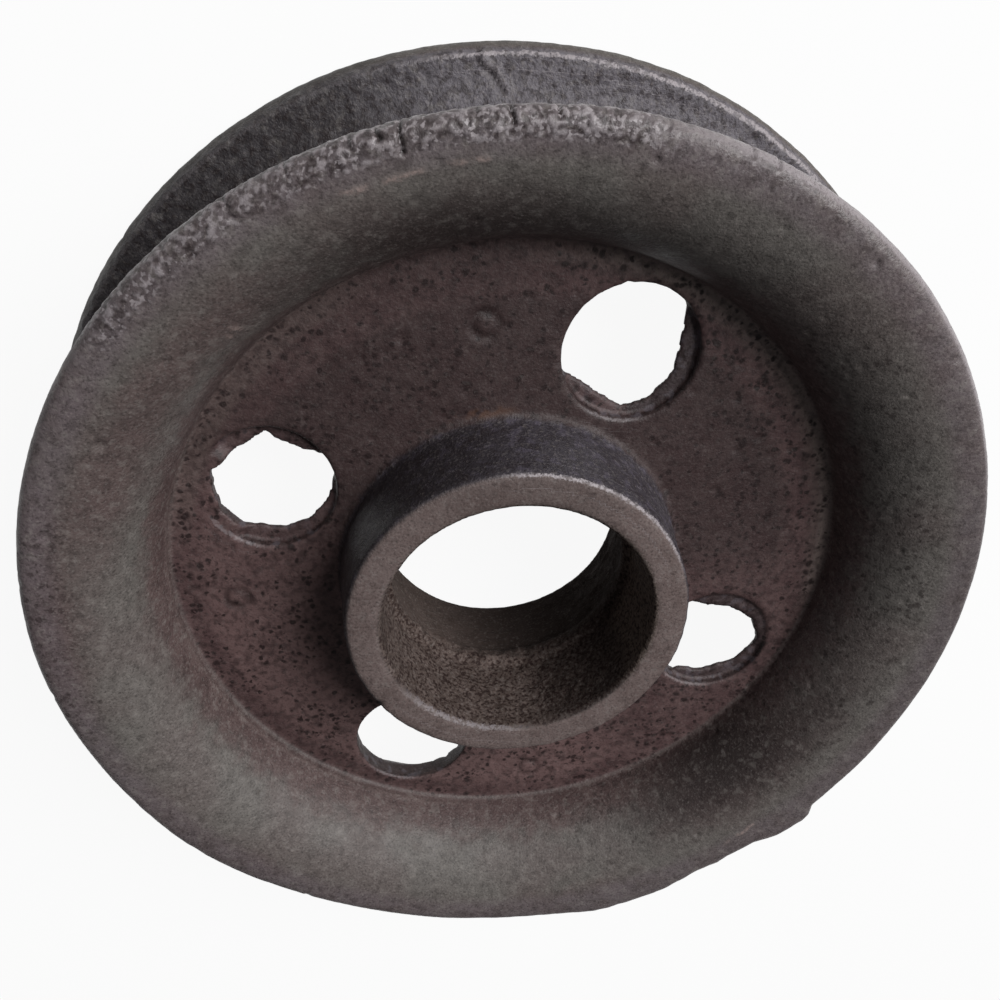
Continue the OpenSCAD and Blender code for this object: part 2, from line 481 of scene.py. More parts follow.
def divide_lip(obj):
    """Halves the faces of the lumpy part of the front lip."""
    c = face_centres(obj.data)
    r = np.hypot(c[:, 0], c[:, 1])
    turned = np.abs(turned_by(np.degrees(np.arctan2(c[:, 1], c[:, 0])), FINE_LIP[0]))
    gap = np.hypot(r - lip_centre(FRONT_R)[0], c[:, 2] - lip_centre(FRONT_R)[1]) - LIP_ROUND
    chosen = np.nonzero((turned < FINE_LIP[1]) & (gap < FINE_LIP[2]))[0]
    bm = bmesh.new()
    bm.from_mesh(obj.data)
    bm.faces.ensure_lookup_table()
    edges = {e for i in chosen for e in bm.faces[i].edges}
    bmesh.ops.subdivide_edges(bm, edges=list(edges), cuts=1, use_grid_fill=True)
    bm.to_mesh(obj.data)
    bm.free()


def read_mesh(mesh):
    n = len(mesh.vertices)
    co = np.empty(n * 3, np.float32)
    mesh.vertices.foreach_get("co", co)
    no = np.empty(n * 3, np.float32)
    mesh.vertex_normals.foreach_get("vector", no)
    return co.reshape(-1, 3).astype(float) / MM, no.reshape(-1, 3).astype(float)


def regions(p, n):
    """Weights that say which surface of the casting a point is on, and where it lies there."""
    r = np.hypot(p[:, 0], p[:, 1])
    z = p[:, 2]
    theta = np.degrees(np.arctan2(p[:, 1], p[:, 0])) % 360
    out = (n[:, 0] * p[:, 0] + n[:, 1] * p[:, 1]) / np.maximum(r, 1e-6)
    tube = np.hypot(r - FACE_C[0], z)
    lean = np.degrees(np.arctan2(FACE_C[0] - r, np.abs(z)))
    in_rim = ramp(r, WEB_R - 0.8, WEB_R + 0.3)
    mid_wall = FACE_ARC_R - RIM_WALL / 2
    face = in_rim * ramp(tube, mid_wall - 0.6, mid_wall + 0.4)
    groove = ramp(r, WEB_R + 1.2, WEB_R + 2.2) * ramp(tube, mid_wall - 0.6, mid_wall - 1.4)
    web = ramp(r, HUB_FACE_R + 0.6, HUB_FACE_R + 1.2) * ramp(np.abs(z), 5.0, 3.5) * (1 - in_rim)
    bore = ramp(r, 24.4, 23.6) * ramp(out, -0.2, -0.7)
    hub_face = ramp(r, 29.0, 28.0) * ramp(np.abs(n[:, 2]), 0.6, 0.85) * ramp(np.abs(z), 15.5, 16.5)
    hub_side = ramp(r, 30.2, 29.0) * ramp(out, 0.1, 0.6) * ramp(np.abs(z), 1.9, 3.0)
    front_lip = np.hypot(r - lip_centre(FRONT_R)[0], z - lip_centre(FRONT_R)[1]) - LIP_ROUND
    rear_lip = np.hypot(r - lip_centre(REAR_R)[0], z + lip_centre(REAR_R)[1]) - LIP_ROUND
    rear_mouth = np.hypot(r - mouth_centre(REAR_R)[0], z + mouth_centre(REAR_R)[1])
    holes = [hole_centre(a) for a in HOLE_ANGLES]
    hole_gap = [np.hypot(p[:, 0] - x, p[:, 1] - y) for x, y in holes]
    hole_turn = [np.degrees(np.arctan2(p[:, 1] - y, p[:, 0] - x)) for x, y in holes]
    in_hole = ramp(np.min(hole_gap, 0), HOLE_R + 0.7, HOLE_R + 0.1)
    wall = in_hole * ramp(np.abs(n[:, 2]), 0.85, 0.4)
    tint = np.array(FLASH_TINT)[np.argmin(hole_gap, 0)]
    fin = (hole_gap[0] < HOLE_R) & (np.abs(turned_by(hole_turn[0], FIN[0])) < FIN[1])
    flash = in_hole * ramp(np.abs(z), 1.8, 1.4) * (1 - wall) * np.where(fin, FIN_TINT, tint)
    return dict(r=r, z=z, theta=theta, lean=lean, face=face, groove=groove, web=web, bore=bore,
                hub_face=hub_face, hub_side=hub_side, front_lip=front_lip, rear_lip=rear_lip,
                rear_mouth=rear_mouth, hole_gap=hole_gap, hole_turn=hole_turn, wall=wall, flash=flash)


def across(u, v, centre, toward):
    """Signed distance from the line through a rounding's centre towards the middle of its arc."""
    return (u - centre[0]) * -math.sin(toward) + (v - centre[1]) * math.cos(toward)


def edge_lines(g):
    """Signed distance to the nearest sharp edge of the casting, and how pale that edge is painted: a little
    wear all round, and a painted highlight where it faces the lamp.
    """
    r, z, theta = g["r"], np.abs(g["z"]), g["theta"]
    best = np.full(len(r), 3.0)
    worn_and_lit = np.zeros(len(r))

    def add(s, reach, where, wear_and_lit):
        nonlocal best, worn_and_lit
        nearer = (where < reach) & (np.abs(s) < np.abs(best))
        best = np.where(nearer, s, best)
        worn_and_lit = np.where(nearer, wear_and_lit, worn_and_lit)

    # The rear lip's crest, the hub's shoulder, the bore's mouth and the holes' front edges get their painted
    # highlight on the side towards the lamp
    for flange_r, side, wear_and_lit in (
        (FRONT_R, 1, 0.25 + 0 * theta),
        (REAR_R, -1, 0.15 + 0.85 * around(theta, 250, 26, 10)),
    ):
        lip, mouth = lip_centre(flange_r), mouth_centre(flange_r)
        toward = (angle_of(edge_normal(lip, mouth)) + angle_of(FACE_C - mouth)) / 2
        gap = np.where(g["z"] * side > 0, np.hypot(r - mouth[0], z - mouth[1]), 9)
        add(across(r, z, mouth, toward), 2.0, gap, wear_and_lit)
    shoulder = (HUB_FACE_R - HUB_ROUND, HUB_Z - HUB_ROUND)
    add(across(r, z, shoulder, math.pi / 4), 2.4, np.hypot(r - shoulder[0], z - shoulder[1]),
        0.08 + 0.92 * around(theta, 243, 28, 14))
    mouth = (BORE_MOUTH_R + BORE_ROUND, HUB_Z - BORE_ROUND)
    add(0.6 * across(r, z, mouth, 3 * math.pi / 4), 2.4, np.hypot(r - mouth[0], z - mouth[1]),
        0.03 + 0.60 * around(theta, 68, 14, 24))
    rim = (HOLE_R + HOLE_ROUND, WEB_Z - HOLE_ROUND)
    for d, toward, (lit, wide, wear_and_lit) in zip(g["hole_gap"], g["hole_turn"], HOLE_WEAR_AND_HIGHLIGHT):
        add(across(d, z, rim, 3 * math.pi / 4), 1.6, np.hypot(d - rim[0], z - rim[1]),
            wear_and_lit * around(toward, lit, wide, 12) * (g["z"] > 0))
    return best, worn_and_lit


def dents(p, tree, centres, radius, depth):
    """Round dents, or bumps where depth is negative, at given points."""
    d = np.zeros(len(p))
    for c, rad, dep in zip(centres, radius, depth):
        for co, index, distance in tree.find_range(Vector(c), rad):
            d[index] -= dep * (1 - (distance / rad) ** 2) ** 2
    return d


def turned_by(theta, angle):
    """Signed angle from a given one, within half a turn, in degrees."""
    return (theta - angle + 180) % 360 - 180


def to_line(u, v, points):
    """Signed distance of points (u, v) to a polyline, positive on its left, and the run along it."""
    best = np.full(len(u), 1e9)
    side = np.zeros(len(u))
    run = np.zeros(len(u))
    for k, ((a, b), (c, d)) in enumerate(zip(points, points[1:])):
        length = math.dist((a, b), (c, d))
        ex, ey = (c - a) / length, (d - b) / length
        t = np.clip((u - a) * ex + (v - b) * ey, 0, length)
        gap = np.hypot(u - a - t * ex, v - b - t * ey)
        nearer = gap < best
        best = np.where(nearer, gap, best)
        side = np.where(nearer, np.sign(ex * (v - b) - ey * (u - a)), side)
        run = np.where(nearer, (k + t / length) / (len(points) - 1), run)
    return best * side, run


def roughen(obj):
    """Moves every point of the clean casting along its normal as sand-cast iron varies."""
    mesh = obj.data
    p, n = read_mesh(mesh)
    g = regions(p, n)
    theta, z, r = g["theta"], g["z"], g["r"]
    rng = np.random.default_rng(23)

    # Slow unevenness of the pattern, then sand grain of two sizes
    move = 0.14 * noise(p, 26, 1) + 0.06 * noise(p, 9, 2)
    grain = 0.8 * noise(p, 1.7, 3) + 0.7 * noise(p, 1.05, 4)
    coarse = noise(p, 3.4, 5)
    level = (0.03 * g["face"] + 0.05 * g["web"] + 0.20 * g["groove"] + 0.08 * g["hub_side"]
             + 0.03 * g["hub_face"] + 0.17 * g["bore"] * (0.25 + 0.75 * ramp(np.abs(z), 16.5, 13.5)))
    move += level * (grain + 0.5 * coarse)

    # Lumps and clefts along the front lip, worst on the side towards the camera
    near_front = ramp(g["front_lip"], 0.9, 0.1) * ramp(z, 10.0, 13.0)
    rough_side = np.max([s * around(theta, a, w, soft) for a, w, soft, s in LIP_ROUGH], 0)
    rough_side = 0.06 + 0.94 * rough_side * (0.8 + 0.4 * noise(p, 7, 50))
    fine = 0.6 * noise(p, 0.95, 7) + 0.5 * noise(p, 0.65, 44)
    lumps = near_front * rough_side * (0.10 * noise(p, 1.8, 6) + 0.22 * fine)
    move += lumps
    cleft = np.zeros(len(p))
    for angle, start, deep, wide in LIP_CLEFTS:
        d = turned_by(theta, angle + 0.3 * noise(p, 2.0, 40)) * math.radians(1) * r
        cleft += deep * np.exp(-(d / wide) ** 2) * ramp(r, start - 0.3, start + 0.3) * ramp(z, 15.7, 16.9)
    move -= cleft
    near = ramp(g["rear_lip"], 2.2, 0.5)
    move += near * (0.05 * noise(p, 2.3, 48) + 0.04 * noise(p, 1.3, 49))

    # Seam on the rear wall of the groove: a raised vein with a cleft beside it
    on_wall = ramp(z, -8.0, -10.0) * g["groove"] * ramp(g["rear_mouth"], 0.2, 0.6)
    d, run = to_line(turned_by(theta, SEAM[0][0]) * math.radians(1) * r, r,
                     [((a - SEAM[0][0]) * math.radians(1) * b, b) for a, b in SEAM])
    d = d + 0.35 * noise(p, 1.6, 41)
    fade = on_wall * ramp(run, 1.0, 0.75)
    vein = fade * np.exp(-(d / 0.42) ** 2)
    beside = fade * np.exp(-((d - SEAM_CLEFT) / 0.42) ** 2)
    move += 0.42 * vein - 0.5 * beside

    # Raised streaks where the mould was scraped
    streak = np.zeros(len(p))
    for points in STREAKS:
        zero = points[0][0]
        d, run = to_line(turned_by(theta, zero) * math.radians(1) * r, r,
                         [((a - zero) * math.radians(1) * b, b) for a, b in points])
        d = d + 0.4 * noise(p, 2.4, 45)
        broken = ramp(noise(p, 3.0, 46), -0.15, 0.25)
        streak = np.maximum(streak, np.exp(-(d / 0.3) ** 2) * broken * ramp(z, 4, 6) * g["face"])
    move += 0.16 * streak

    # Thin line that the pattern left just above the crease of the front flange
    line = (g["face"] * ramp(z, 1.0, 2.0)
            * np.exp(-((g["lean"] - CREASE_LINE) * math.radians(1) * FACE_ARC_R / 0.5) ** 2)
            * around(theta, 25, 45, 25))
    move += 0.18 * line * (0.8 + 0.5 * noise(p, 5, 42))

    # Ridge in the bore, uneven as its core halves met
    ridge = g["bore"] * ramp(np.abs(z), 3.2, 1.0)
    bulge = 0.25 + 0.75 * around(theta, 75, 30, 30) + 0.4 * around(theta, 75, 12, 14)
    move += ridge * bulge * (0.5 * np.abs(noise(p, 3.6, 8)) + 0.45 * noise(p, 1.7, 9) - 0.05)

    # The front lip runs out further in places, with the stubs of broken gates
    swell = np.interp(turned_by(theta, 0), *zip(*LIP_SWELL)) * (1 + 0.12 * noise(p, 3.0, 10))
    swell *= ramp(r, 71.6, 74.4) * ramp(z, 9.0, 12.0)

    # The rear flange is hollowed a little across from the lower hole
    angle, wide, soft, lean, deep = REAR_HOLLOW
    hollow = g["face"] * ramp(z, -3, -6) * around(theta, angle, wide, soft)
    move -= deep * (hollow * ramp(np.abs(g["lean"] - lean), 26, 6))

    # Rings that pins pressed into the web
    rings = np.zeros(len(p))
    for k, (distance, angle, ring) in enumerate(PIN_MARKS):
        a = math.radians(angle)
        d = np.hypot(p[:, 0] - distance * math.cos(a), p[:, 1] - distance * math.sin(a))
        front = ramp(z, 0.8, 1.4) * ramp(d, 5, 4)
        groove = front * np.exp(-((d - ring) / 0.5) ** 2) * (0.75 + 0.5 * noise(p, 2.2, 30 + k))
        move -= 0.5 * groove
        rings += groove
        move += front * 0.12 * np.exp(-(d / 1.1) ** 2)

    # Pits in the skin of the web and flanges
    tree = KDTree(len(p))
    for i, c in enumerate(p):
        tree.insert(c, i)
    tree.balance()
    weight = g["web"] * (0.4 + ramp(noise(p, 14, 12), -0.2, 0.6)) + 0.05 * g["groove"]
    weight += g["face"] * (0.10 + 0.25 * around(theta, 190, 34, 20)
                           + 0.5 * around(theta, 0, 13, 8) * ramp(g["lean"], 24, 12))
    pick = rng.choice(len(p), PITS, replace=False, p=weight / weight.sum())
    size = rng.uniform(0.5, 1.0, len(pick))
    move += dents(p, tree, p[pick], size, size * rng.uniform(0.12, 0.34, len(pick)))
    spots = [(d * math.cos(math.radians(a)), d * math.sin(math.radians(a)), h) for a, d, h, _, _ in DENTS]
    move += dents(p, tree, spots, [s[3] for s in DENTS], [s[4] for s in DENTS])

    p = p + n * move[:, None]
    p[:, :2] *= (1 + swell / r)[:, None]
    mesh.vertices.foreach_set("co", (p * MM).astype(np.float32).ravel())
    mesh.update()
    g["line"] = line
    g["lumpy"] = np.clip(near_front * rough_side, 0, 1) * ramp(rough_side, 0.1, 0.4)
    g["streak"] = streak
    # Pale lump tops on the lip and the seam's vein are painted highlights
    g["pale_and_highlight"] = ramp(near_front * rough_side * fine, 0.04, 0.26) + 0.5 * vein
    # Painted shade in the lip's clefts and in the hollows between its lumps, in the pin rings and in the
    # seam's cleft
    shade = 0.8 * ramp(near_front * rough_side * fine, -0.10, -0.4)
    g["painted_shade"] = np.clip(np.maximum(2.2 * cleft, shade) + 0.8 * rings + 0.8 * beside, 0, 1)
    return p, g


def patches(g, spots):
    """Soft patches on the front flange: rows of angle, half width, lean, half lean and strength."""
    total = np.zeros(len(g["theta"]))
    for angle, wide, lean, high, strength in spots:
        d = turned_by(g["theta"], angle) / wide
        e = (g["lean"] - lean) / high
        total += strength * np.exp(-d * d - e * e)
    return np.clip(total, 0, 1) * ramp(g["z"], 0.5, 2.0) * g["face"]


def set_attribute(mesh, name, values):
    attribute = mesh.attributes.new(name, "FLOAT", "POINT")
    attribute.data.foreach_set("value", np.asarray(values, np.float32))


def split(obj, masks):
    """Cuts the casting into named pieces by face, each with the normals of the whole."""
    mesh = obj.data
    n_faces = len(mesh.polygons)
    loops = np.empty(len(mesh.loops), np.int32)
    mesh.loops.foreach_get("vertex_index", loops)
    starts = np.empty(n_faces, np.int32)
    mesh.polygons.foreach_get("loop_start", starts)
    totals = np.empty(n_faces, np.int32)
    mesh.polygons.foreach_get("loop_total", totals)
    co = np.empty(len(mesh.vertices) * 3, np.float32)
    mesh.vertices.foreach_get("co", co)
    co = co.reshape(-1, 3)
    normals = np.empty(len(mesh.vertices) * 3, np.float32)
    mesh.vertex_normals.foreach_get("vector", normals)
    normals = normals.reshape(-1, 3)
    values = {}
    for a in mesh.attributes:
        if a.data_type == "FLOAT" and a.domain == "POINT":
            v = np.empty(len(mesh.vertices), np.float32)
            a.data.foreach_get("value", v)
            values[a.name] = v
    made = []
    for name, mask in masks.items():
        faces = np.nonzero(mask)[0]
        used = np.zeros(len(co), bool)
        corner = [loops[starts[f]:starts[f] + totals[f]] for f in faces]
        for c in corner:
            used[c] = True
        index = np.cumsum(used) - 1
        piece = mesh_object(name, co[used], [tuple(index[c]) for c in corner])
        for key, v in values.items():
            set_attribute(piece.data, key, v[used])
        piece.data.shade_smooth()
        piece.data.normals_split_custom_set_from_vertices(normals[used])
        made.append(piece)
    drop([obj])
    return made


def face_centres(mesh):
    c = np.empty(len(mesh.polygons) * 3, np.float32)
    mesh.polygons.foreach_get("center", c)
    return c.reshape(-1, 3) / MM


def keep(name, values):
    """Gives the casting a value per point that its material reads."""
    set_attribute(blank.data, name, values)


blank = cast_blank()
points, where = roughen(blank)
theta, r, z, lean = where["theta"], where["r"], where["z"], where["lean"]
for key in ("face", "groove", "web", "bore", "hub_face", "hub_side"):
    keep("on_" + key, where[key])
for key in ("line", "streak", "lumpy", "painted_shade", "flash"):
    keep(key, where[key])
keep("hole_wall", where["wall"])
keep("lip", ramp(where["front_lip"], 3.2, 0.4))
keep("rear_lip", ramp(where["rear_lip"], 2.0, 0.4) * (1 - where["groove"]))
keep("foot", ramp(lean, 35, 80) * where["face"])
keep("stain", patches(where, STAINS))

# Edges made paler, a little by wear and mostly as painted highlights where they face the lamp, and a painted
# highlight on the lip towards the lamp
edge_line, edge_wear_and_highlight = edge_lines(where)
keep("edge_line", edge_line)
keep("edge_wear_and_highlight", edge_wear_and_highlight)
lip_turn = np.degrees(np.arctan2(z - lip_centre(FRONT_R)[1], r - lip_centre(FRONT_R)[0]))
shine = around(lip_turn, 22, 20, 22) * around(theta, 232, 20, 16) * ramp(where["front_lip"], 0.6, 0.2)
keep("pale_and_highlight", np.maximum(where["pale_and_highlight"], shine * (z > 8)))

# Front of the web: a pale band outside and a paler rim in the crease, partly dust and partly painted light
# where the flange's shadow falls; pale patches, partly dust and partly painted light where the hub's shadow
# falls; and dots
front_web = where["web"] * ramp(z, 0.5, 1.5)
keep("dust_and_light_band", front_web * ramp(r, 51.5, 53.0)
     * np.maximum(around(theta, 326, 20, 12), around(theta, 225, 36, 18)))
keep("rim_dust_and_light", front_web * ramp(r, 53.2, 54.4) * around(theta, 218, 34, 14))
web_dust_and_light = np.maximum(around(theta, 45, 30, 20), around(theta, 95, 16, 14))
web_dust_and_light = np.maximum(web_dust_and_light, 0.5 * around(theta, 355, 15, 15)) * ramp(r, 53, 50)
keep("web_dust_and_light", front_web * web_dust_and_light)
keep("dotted", front_web * around(theta, 220, 28, 14) * ramp(r, 40, 44))

# Right wall of the bore made paler, partly dust and partly painted light on the side the lamp leaves in
# shade; and the front half of the bore, where its skin is rougher
bore_dust_and_light = where["bore"] * around(theta, 195, 30, 20) * ramp(z, 1.0, 4.0)
keep("bore_dust_and_light", bore_dust_and_light)
keep("bore_front", where["bore"] * ramp(z, -1.5, 0.5))

# Soot and painted shade: painted shade on the upper web where the rim's shadow falls, in the groove on the
# left in the front flange's shadow, deep in the bore, on hole walls, on the hub's side away from the lamp
# and on the bore's right; partly soot and partly painted shade in the front flange's patches; and darker
# patches on the web and the top of the hub face
upper = around(theta, 264, 68, 34) * front_web * ramp(r, 51, 46)
left = around(theta, 325, 28, 22) * np.maximum(where["groove"], ramp(where["rear_lip"], 2.5, 0.5))
deep = where["bore"] * ramp(z, 1.0, -1.5) * (0.25 + 0.75 * ramp(turned_by(theta, 80), -40, 35))
keep("soot_and_shade", np.max([
    0.64 * upper,
    0.85 * left,
    0.75 * deep,
    0.7 * where["wall"],
    0.45 * around(theta, 306, 30, 14) * front_web,
    0.5 * around(theta, 335, 40, 30) * where["hub_side"],
    0.34 * around(theta, 272, 20, 24) * where["hub_face"],
    0.62 * around(theta, 142, 24, 26) * where["bore"] * (1 - bore_dust_and_light),
    patches(where, SOOT_AND_SHADE),
], 0))

# Pitted skin on the front flange: the right half, the left edge and the lower right
pitted = around(theta, 190, 34, 20) * ramp(lean, 14, 24)
pitted += around(theta, 0, 14, 8) * ramp(lean, 26, 14)
pitted += 0.8 * around(theta, 126, 18, 12) * ramp(lean, 20, 34)
keep("pitted", pitted * where["face"] * ramp(z, 1, 3))
rust_gap = np.hypot(turned_by(theta, RUST_AT[0]) * math.radians(1) * r / RUST_AT[1], (r - RUST_AT[2]) / 0.9)
keep("rust", ramp(rust_gap, 1.4, 0.3) * ramp(z, 1.0, 1.8) * ramp(z, 5.0, 3.5))

centres = face_centres(blank.data)
centre_r = np.hypot(centres[:, 0], centres[:, 1])
centre_tube = np.hypot(centre_r - FACE_C[0], centres[:, 2])
in_groove = (centre_r > WEB_R + 1.5) & (centre_tube < FACE_ARC_R - RIM_WALL * 0.7)
front = centres[:, 2] > 0
bore = (centre_r < BORE_MOUTH_R + 0.6) & (np.abs(centres[:, 2]) < HUB_Z - 0.3)
hub = ~in_groove & (centre_r < HUB_PIECE_R) & ~bore
web = ~in_groove & (centre_r >= HUB_PIECE_R) & (centre_r < WEB_R)
flange = ~in_groove & (centre_r >= WEB_R)
pieces = split(blank, {
    "casting_front_flange": flange & front,
    "casting_rear_flange": flange & ~front,
    "casting_web": web,
    "casting_hub": hub,
    "casting_bore": bore,
    "casting_front_groove": in_groove & front,
    "casting_rear_groove": in_groove & ~front,
})


# Materials


class Nodes:
    """Short helper for building a node material."""

    def __init__(self, name):
        self.material = bpy.data.materials.new(name)
        self.material.use_nodes = True
        self.tree = self.material.node_tree
        self.tree.nodes.clear()

    def add(self, kind, **values):
        node = self.tree.nodes.new(kind)
        for key, value in values.items():
            setattr(node, key, value)
        return node

    def link(self, a, b):
        self.tree.links.new(a, b)

    def put(self, value, socket):
        if isinstance(value, bpy.types.NodeSocket):
            self.link(value, socket)
        else:
            socket.default_value = value

    def math(self, operation, a, b=0.0, clamp=False):
        node = self.add("ShaderNodeMath", operation=operation, use_clamp=clamp)
        self.put(a, node.inputs[0])
        self.put(b, node.inputs[1])
        return node.outputs[0]

    def times(self, a, b, clamp=False):
        return self.math("MULTIPLY", a, b, clamp)

    def plus(self, a, b, clamp=False):
        return self.math("ADD", a, b, clamp)

    def minus(self, a, b):
        return self.math("SUBTRACT", a, b)

    def most(self, a, b):
        return self.math("MAXIMUM", a, b)

    def noise(self, vector, size_mm, detail, roughness):
        node = self.add("ShaderNodeTexNoise")
        self.link(vector, node.inputs["Vector"])
        node.inputs["Scale"].default_value = 1 / (size_mm * MM)
        node.inputs["Detail"].default_value = detail
        node.inputs["Roughness"].default_value = roughness
        return node.outputs["Fac"]

    def cells(self, vector, size_mm):
        node = self.add("ShaderNodeTexVoronoi", feature="F1")
        self.link(vector, node.inputs["Vector"])
        node.inputs["Scale"].default_value = 1 / (size_mm * MM)
        return node.outputs["Distance"], node.outputs["Color"]

    def span(self, value, low, high, to_low=0.0, to_high=1.0):
        node = self.add("ShaderNodeMapRange", interpolation_type="SMOOTHSTEP")
        self.link(value, node.inputs["Value"])
        node.inputs["From Min"].default_value = low
        node.inputs["From Max"].default_value = high
        node.inputs["To Min"].default_value = to_low
        node.inputs["To Max"].default_value = to_high
        return node.outputs["Result"]

    def mix(self, factor, a, b):
        node = self.add("ShaderNodeMix", data_type="RGBA")
        self.put(factor, node.inputs["Factor"])
        self.put(a, node.inputs[6])
        self.put(b, node.inputs[7])
        return node.outputs[2]

    def spots(self, vector, size_mm, largest, often):
        """Round soft spots of random size, one in the given share of cells of the given size."""
        shift = self.add("ShaderNodeTexNoise")
        self.link(vector, shift.inputs["Vector"])
        shift.inputs["Scale"].default_value = 1.6 / (size_mm * MM)
        shift.inputs["Detail"].default_value = 0.0
        scaled = self.add("ShaderNodeVectorMath", operation="SCALE")
        self.link(shift.outputs["Color"], scaled.inputs[0])
        scaled.inputs["Scale"].default_value = 0.5 * size_mm * MM
        moved = self.add("ShaderNodeVectorMath", operation="ADD")
        self.link(vector, moved.inputs[0])
        self.link(scaled.outputs[0], moved.inputs[1])
        distance, tint = self.cells(moved.outputs[0], size_mm)
        parts = self.add("ShaderNodeSeparateColor")
        self.link(tint, parts.inputs[0])
        radius = self.plus(self.times(parts.outputs[1], largest * 0.7), largest * 0.3)
        soft = self.plus(self.times(self.minus(radius, distance), 4.4), 0.32, clamp=True)
        return self.times(soft, self.math("LESS_THAN", parts.outputs[0], often))

    def attribute(self, name):
        return self.add("ShaderNodeAttribute", attribute_name=name).outputs["Fac"]


def rgb(r, g, b):
    """A screen colour from 0 to 255 as a linear one."""
    def linear(v):
        v /= 255
        return v / 12.92 if v <= 0.04045 else ((v + 0.055) / 1.055) ** 2.4

    return (linear(r), linear(g), linear(b), 1.0)


def cast_iron(name, shine):
    """Raw sand-cast iron: grey flanges, brown web, bluish groove, pits, soot, dust and worn edges, with
    painted shade in hollows and shaded places, painted light in some shadows, and painted highlights on
    edges and lumps that face the lamp.
    """
    m = Nodes(name)
    place = m.add("ShaderNodeTexCoord").outputs["Object"]
    web = m.attribute("on_web")
    face = m.attribute("on_face")
    groove = m.attribute("on_groove")
    bore = m.attribute("on_bore")
    hub_face = m.attribute("on_hub_face")
    hub_side = m.attribute("on_hub_side")
    lip = m.attribute("lip")
    rear_lip = m.attribute("rear_lip")
    foot = m.attribute("foot")
    stain = m.attribute("stain")
    soot_and_shade = m.attribute("soot_and_shade")
    pitted = m.attribute("pitted")
    edge_line = m.attribute("edge_line")
    edge_wear_and_highlight = m.attribute("edge_wear_and_highlight")
    hole_wall = m.attribute("hole_wall")
    flash = m.attribute("flash")
    dust_and_light_band = m.attribute("dust_and_light_band")
    streak = m.attribute("streak")
    rust = m.attribute("rust")
    line = m.attribute("line")
    pale_and_highlight = m.attribute("pale_and_highlight")
    painted_shade = m.attribute("painted_shade")
    bore_dust_and_light = m.attribute("bore_dust_and_light")
    bore_front = m.attribute("bore_front")
    lumpy = m.attribute("lumpy")
    rim_dust_and_light = m.attribute("rim_dust_and_light")
    web_dust_and_light = m.attribute("web_dust_and_light")
    dotted = m.attribute("dotted")

    patch = m.noise(place, 16, 1, 0.5)
    mottle = m.noise(place, 4.0, 2, 0.6)
    cluster = m.noise(place, 6.0, 1, 0.6)
    speck = m.noise(place, 1.05, 1.0, 0.5)
    fleck = m.noise(place, 0.62, 1.0, 0.5)
    grain = m.noise(place, 0.40, 2.0, 0.6)
    blotch = m.noise(place, 1.7, 1.0, 0.5)

    # Colour of each surface
    soft = m.span(mottle, 0.3, 0.7)
    grey = m.mix(m.span(patch, 0.38, 0.64), rgb(107, 102, 98), rgb(104, 95, 92))
    brown = m.mix(soft, rgb(84, 63, 63), rgb(97, 75, 74))
    blue = m.mix(soft, rgb(100, 95, 101), rgb(113, 108, 114))
    dark_blue = m.mix(soft, rgb(59, 54, 60), rgb(70, 65, 72))
    bare = m.mix(soft, rgb(109, 94, 91), rgb(120, 105, 102))
    core = m.mix(soft, rgb(85, 73, 68), rgb(105, 92, 87))
    edge = m.mix(soft, rgb(104, 92, 94), rgb(114, 103, 107))
    burr = m.mix(soft, rgb(50, 43, 45), rgb(64, 58, 61))
    dust = m.mix(soft, rgb(86, 69, 68), rgb(100, 83, 81))

    colour = m.mix(face, brown, grey)
    blurred = m.plus(foot, m.times(m.minus(mottle, 0.5), 1.1))
    foot_dust = m.times(m.span(blurred, 0.2, 0.85), face)
    colour = m.mix(foot_dust, colour, dust)
    blurred = m.plus(stain, m.times(m.minus(mottle, 0.5), 0.7))
    colour = m.mix(m.times(m.span(blurred, 0.1, 0.9), 0.85), colour, dust)
    # Pale patches on the web: partly dust, partly painted light where the hub's shadow falls
    colour = m.mix(m.times(web_dust_and_light, 0.55), colour, rgb(126, 100, 98))
    colour = m.mix(groove, colour, blue)
    blurred = m.plus(hub_side, m.times(m.minus(blotch, 0.5), 1.2))
    colour = m.mix(m.times(m.span(blurred, 0.2, 0.8), hub_side), colour, dark_blue)
    purple = m.times(m.times(m.span(blotch, 0.52, 0.68), 0.4), hub_side)
    colour = m.mix(purple, colour, rgb(104, 97, 112))
    colour = m.mix(hub_face, colour, bare)
    colour = m.mix(bore, colour, core)
    # Pale right wall of the bore: partly dust, partly painted light on the side in the lamp's shade
    colour = m.mix(m.times(bore_dust_and_light, 0.6), colour, rgb(140, 124, 114))
    colour = m.mix(m.times(lip, 0.7), colour, edge)
    colour = m.mix(m.times(lumpy, 0.35), colour, rgb(74, 68, 73))
    colour = m.mix(m.times(rear_lip, 0.8), colour, rgb(88, 84, 79))
    colour = m.mix(m.times(line, 0.30), colour, rgb(128, 113, 109))
    # Pale band and crease rim on the web: partly dust, partly painted light where the flange's shadow falls
    colour = m.mix(m.times(dust_and_light_band, 0.55), colour, rgb(112, 96, 92))
    colour = m.mix(m.times(rim_dust_and_light, 0.8), colour, rgb(150, 134, 128))
    colour = m.mix(flash, colour, burr)
    # Soot, and painted shade in hollows, on sides away from the lamp and where shadows fall
    blurred = m.plus(soot_and_shade, m.times(m.minus(mottle, 0.5), 0.3))
    colour = m.mix(m.times(m.span(blurred, 0.0, 1.0), 0.8, clamp=True), colour, rgb(30, 24, 23))

